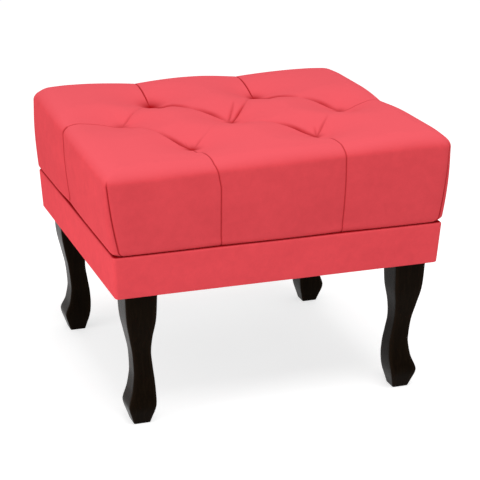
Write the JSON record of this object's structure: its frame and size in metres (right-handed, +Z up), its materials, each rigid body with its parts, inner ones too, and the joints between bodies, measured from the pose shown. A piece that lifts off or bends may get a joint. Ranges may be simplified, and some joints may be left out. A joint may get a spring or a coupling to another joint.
{
  "type": "tufted footstool",
  "caption": "Low rectangular footstool with a tufted, padded cushion on an upholstered band and shaped dark wooden legs.",
  "frame": {"origin": "on the floor, under the middle of the footstool", "axes": "+X to the right along the front, -Y out of the front, +Z up"},
  "size_m": [0.522, 0.472, 0.4111],
  "materials": {
    "cover": "satin",
    "leg_wood": "satin",
    "frame_wood": "matte",
    "plywood": "matte",
    "foam": "matte",
    "wadding": "matte",
    "dust_cloth": "matte",
    "twine": "matte",
    "washer": "matte",
    "steel": "satin"
  },
  "bodies": {
    "root": {"rail_front": "frame_wood", "rail_back": "frame_wood", "rail_left": "frame_wood", "rail_right": "frame_wood", "cross_rail_left": "frame_wood", "cross_rail_right": "frame_wood", "corner_block_front_left": "frame_wood", "corner_block_front_right": "frame_wood", "corner_block_back_left": "frame_wood", "corner_block_back_right": "frame_wood", "leg_front_left": "leg_wood", "leg_front_right": "leg_wood", "leg_back_left": "leg_wood", "leg_back_right": "leg_wood", "hanger_bolt_front_left": "steel", "hanger_bolt_front_right": "steel", "hanger_bolt_back_left": "steel", "hanger_bolt_back_right": "steel", "tee_nut_front_left": "steel", "tee_nut_front_right": "steel", "tee_nut_back_left": "steel", "tee_nut_back_right": "steel", "seat_board": "plywood", "seat_foam": "foam", "seat_wadding": "wadding", "seat_cover_left_diamond": "cover", "seat_cover_right_diamond": "cover", "seat_cover_front": "cover", "seat_cover_back": "cover", "seat_cover_front_left": "cover", "seat_cover_back_left": "cover", "seat_cover_front_right": "cover", "seat_cover_back_right": "cover", "tuft_tie_1": "twine", "tuft_tie_2": "twine", "tuft_tie_3": "twine", "tuft_tie_4": "twine", "tuft_tie_5": "twine", "tuft_tie_6": "twine", "tuft_tie_7": "twine", "tuft_washer_1": "washer", "tuft_washer_2": "washer", "tuft_washer_3": "washer", "tuft_washer_4": "washer", "tuft_washer_5": "washer", "tuft_washer_6": "washer", "tuft_washer_7": "washer", "band_padding": "wadding", "band_cover": "cover", "dust_cover": "dust_cloth", "frame_screws": "steel", "block_screws": "steel", "deck_screws": "steel", "dust_staples": "steel", "cover_staples": "steel"}
  },
  "joints": []
}
